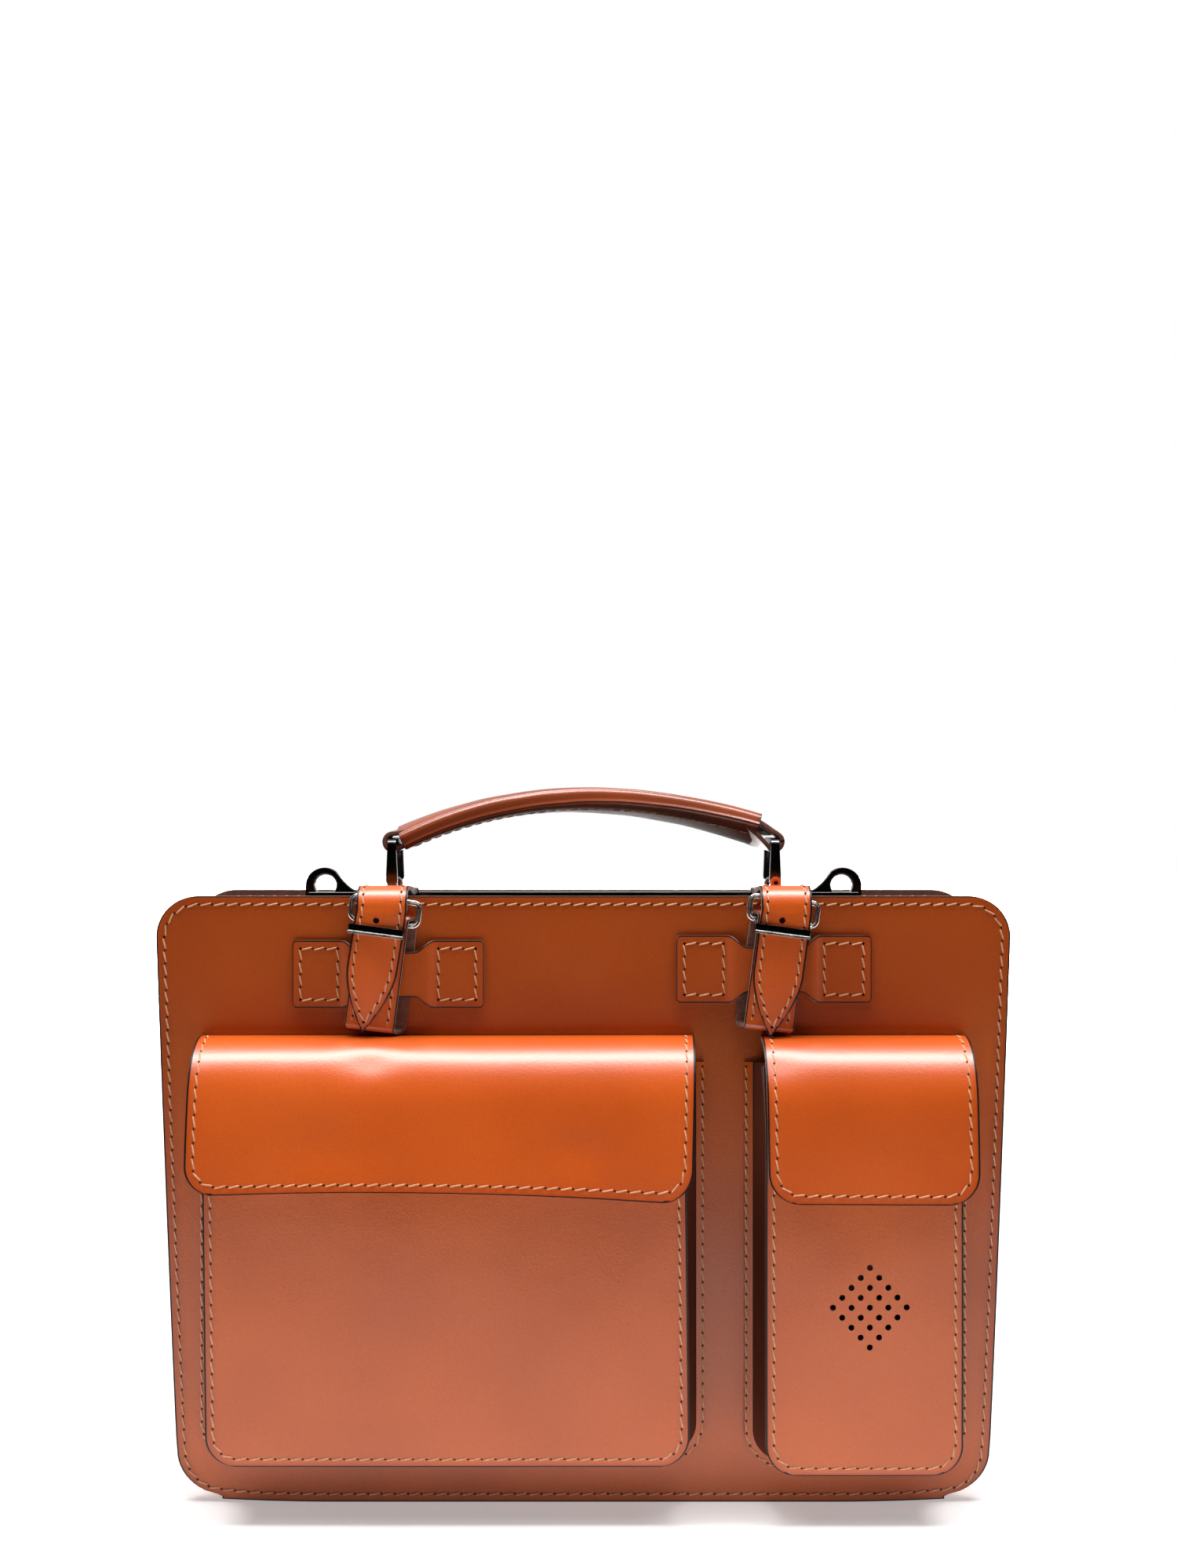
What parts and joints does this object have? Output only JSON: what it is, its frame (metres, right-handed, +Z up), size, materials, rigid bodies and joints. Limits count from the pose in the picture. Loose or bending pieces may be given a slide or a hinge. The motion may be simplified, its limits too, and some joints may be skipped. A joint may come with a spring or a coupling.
{
  "type": "leather briefcase",
  "caption": "Stiff leather briefcase with a metal top bar, an arched handle on tall rings, strap closures with buckle rings and flapped front pockets.",
  "frame": {"origin": "centre of the bag's footprint, on the surface it stands on", "axes": "+Z up, +X to the right of someone who looks at the pockets, -Y out of the pocket side"},
  "size_m": [0.3788, 0.1248, 0.3155],
  "materials": {
    "body_leather": "waxed smooth grain",
    "flap_leather": "polished smooth grain",
    "suede_leather": "flesh side, black edge",
    "dark_steel": "polished gunmetal",
    "bright_steel": "polished nickel",
    "magnet_steel": "plain plate"
  },
  "bodies": {
    "bag": {"front_panel": "body_leather", "back_panel": "body_leather", "front_gusset": "body_leather", "back_gusset": "body_leather", "strap_patch_left": "body_leather", "strap_patch_right": "body_leather", "big_pocket_front": "body_leather", "big_pocket_gusset": "body_leather", "small_pocket_front": "body_leather", "small_pocket_gusset": "body_leather", "big_flap_top": "flap_leather", "small_flap_top": "flap_leather", "strap_anchor_left": "flap_leather", "strap_anchor_right": "flap_leather", "strap_loop_left": "flap_leather", "strap_loop_right": "flap_leather", "divider_panel": "suede_leather", "top_bar": "dark_steel", "bar_rivet_left": "dark_steel", "bar_rivet_middle": "dark_steel", "bar_rivet_right": "dark_steel", "ring_staple_left": "bright_steel", "ring_staple_right": "bright_steel", "big_pocket_keeper": "magnet_steel", "small_pocket_keeper": "magnet_steel"},
    "left_handle_ring": {"handle_ring_left": "dark_steel"},
    "right_handle_ring": {"handle_ring_right": "dark_steel"},
    "handle": {"handle_strap": "suede_leather", "handle_sleeve": "body_leather"},
    "left_strap": {"closure_strap_left": "flap_leather", "strap_clip_left": "dark_steel"},
    "right_strap": {"closure_strap_right": "flap_leather", "strap_clip_right": "dark_steel"},
    "left_buckle_ring": {"buckle_ring_left": "bright_steel"},
    "right_buckle_ring": {"buckle_ring_right": "bright_steel"},
    "big_flap": {"big_flap": "flap_leather", "big_flap_magnet": "magnet_steel"},
    "small_flap": {"small_flap": "flap_leather", "small_flap_magnet": "magnet_steel"}
  },
  "joints": [
    {"name": "left_ring_tilt", "type": "hinge", "parent": "bag", "child": "left_handle_ring", "pos_m": [-0.088, 0.01735, 0.271], "axis": [0, 1, 0], "range_deg": [-18, 18]},
    {"name": "right_ring_tilt", "type": "hinge", "parent": "bag", "child": "right_handle_ring", "pos_m": [0.088, 0.01735, 0.271], "axis": [0, 1, 0], "range_deg": [-18, 18]},
    {"name": "handle_sway", "type": "hinge", "parent": "left_handle_ring", "child": "handle", "pos_m": [-0.088, 0.01735, 0.291], "axis": [0, 1, 0], "range_deg": [-18, 18]},
    {"name": "left_strap_lift", "type": "hinge", "parent": "bag", "child": "left_strap", "pos_m": [-0.08648, -0.00065, 0.2681], "axis": [-1, 0, 0], "range_deg": [0, 80]},
    {"name": "right_strap_lift", "type": "hinge", "parent": "bag", "child": "right_strap", "pos_m": [0.08913, -0.00065, 0.2681], "axis": [-1, 0, 0], "range_deg": [0, 80]},
    {"name": "left_buckle_ring_tip", "type": "hinge", "parent": "bag", "child": "left_buckle_ring", "pos_m": [-0.08793, -0.03105, 0.257], "axis": [0.9914, 0, -0.1305], "range_deg": [0, 24]},
    {"name": "right_buckle_ring_tip", "type": "hinge", "parent": "bag", "child": "right_buckle_ring", "pos_m": [0.08768, -0.03105, 0.257], "axis": [0.9914, 0, -0.1305], "range_deg": [0, 24]},
    {"name": "big_flap_lift", "type": "hinge", "parent": "bag", "child": "big_flap", "pos_m": [-0.0605, -0.05165, 0.2056], "axis": [-1, 0, 0], "range_deg": [0, 100]},
    {"name": "small_flap_lift", "type": "hinge", "parent": "bag", "child": "small_flap", "pos_m": [0.12325, -0.05165, 0.2056], "axis": [-1, 0, 0], "range_deg": [0, 100]}
  ],
  "couplings": [
    {"joint": "right_ring_tilt", "follows": "left_ring_tilt", "ratio": 1},
    {"joint": "handle_sway", "follows": "left_ring_tilt", "ratio": -1},
    {"joint": "left_buckle_ring_tip", "follows": "left_strap_lift", "ratio": 0.3},
    {"joint": "right_buckle_ring_tip", "follows": "right_strap_lift", "ratio": 0.3}
  ]
}
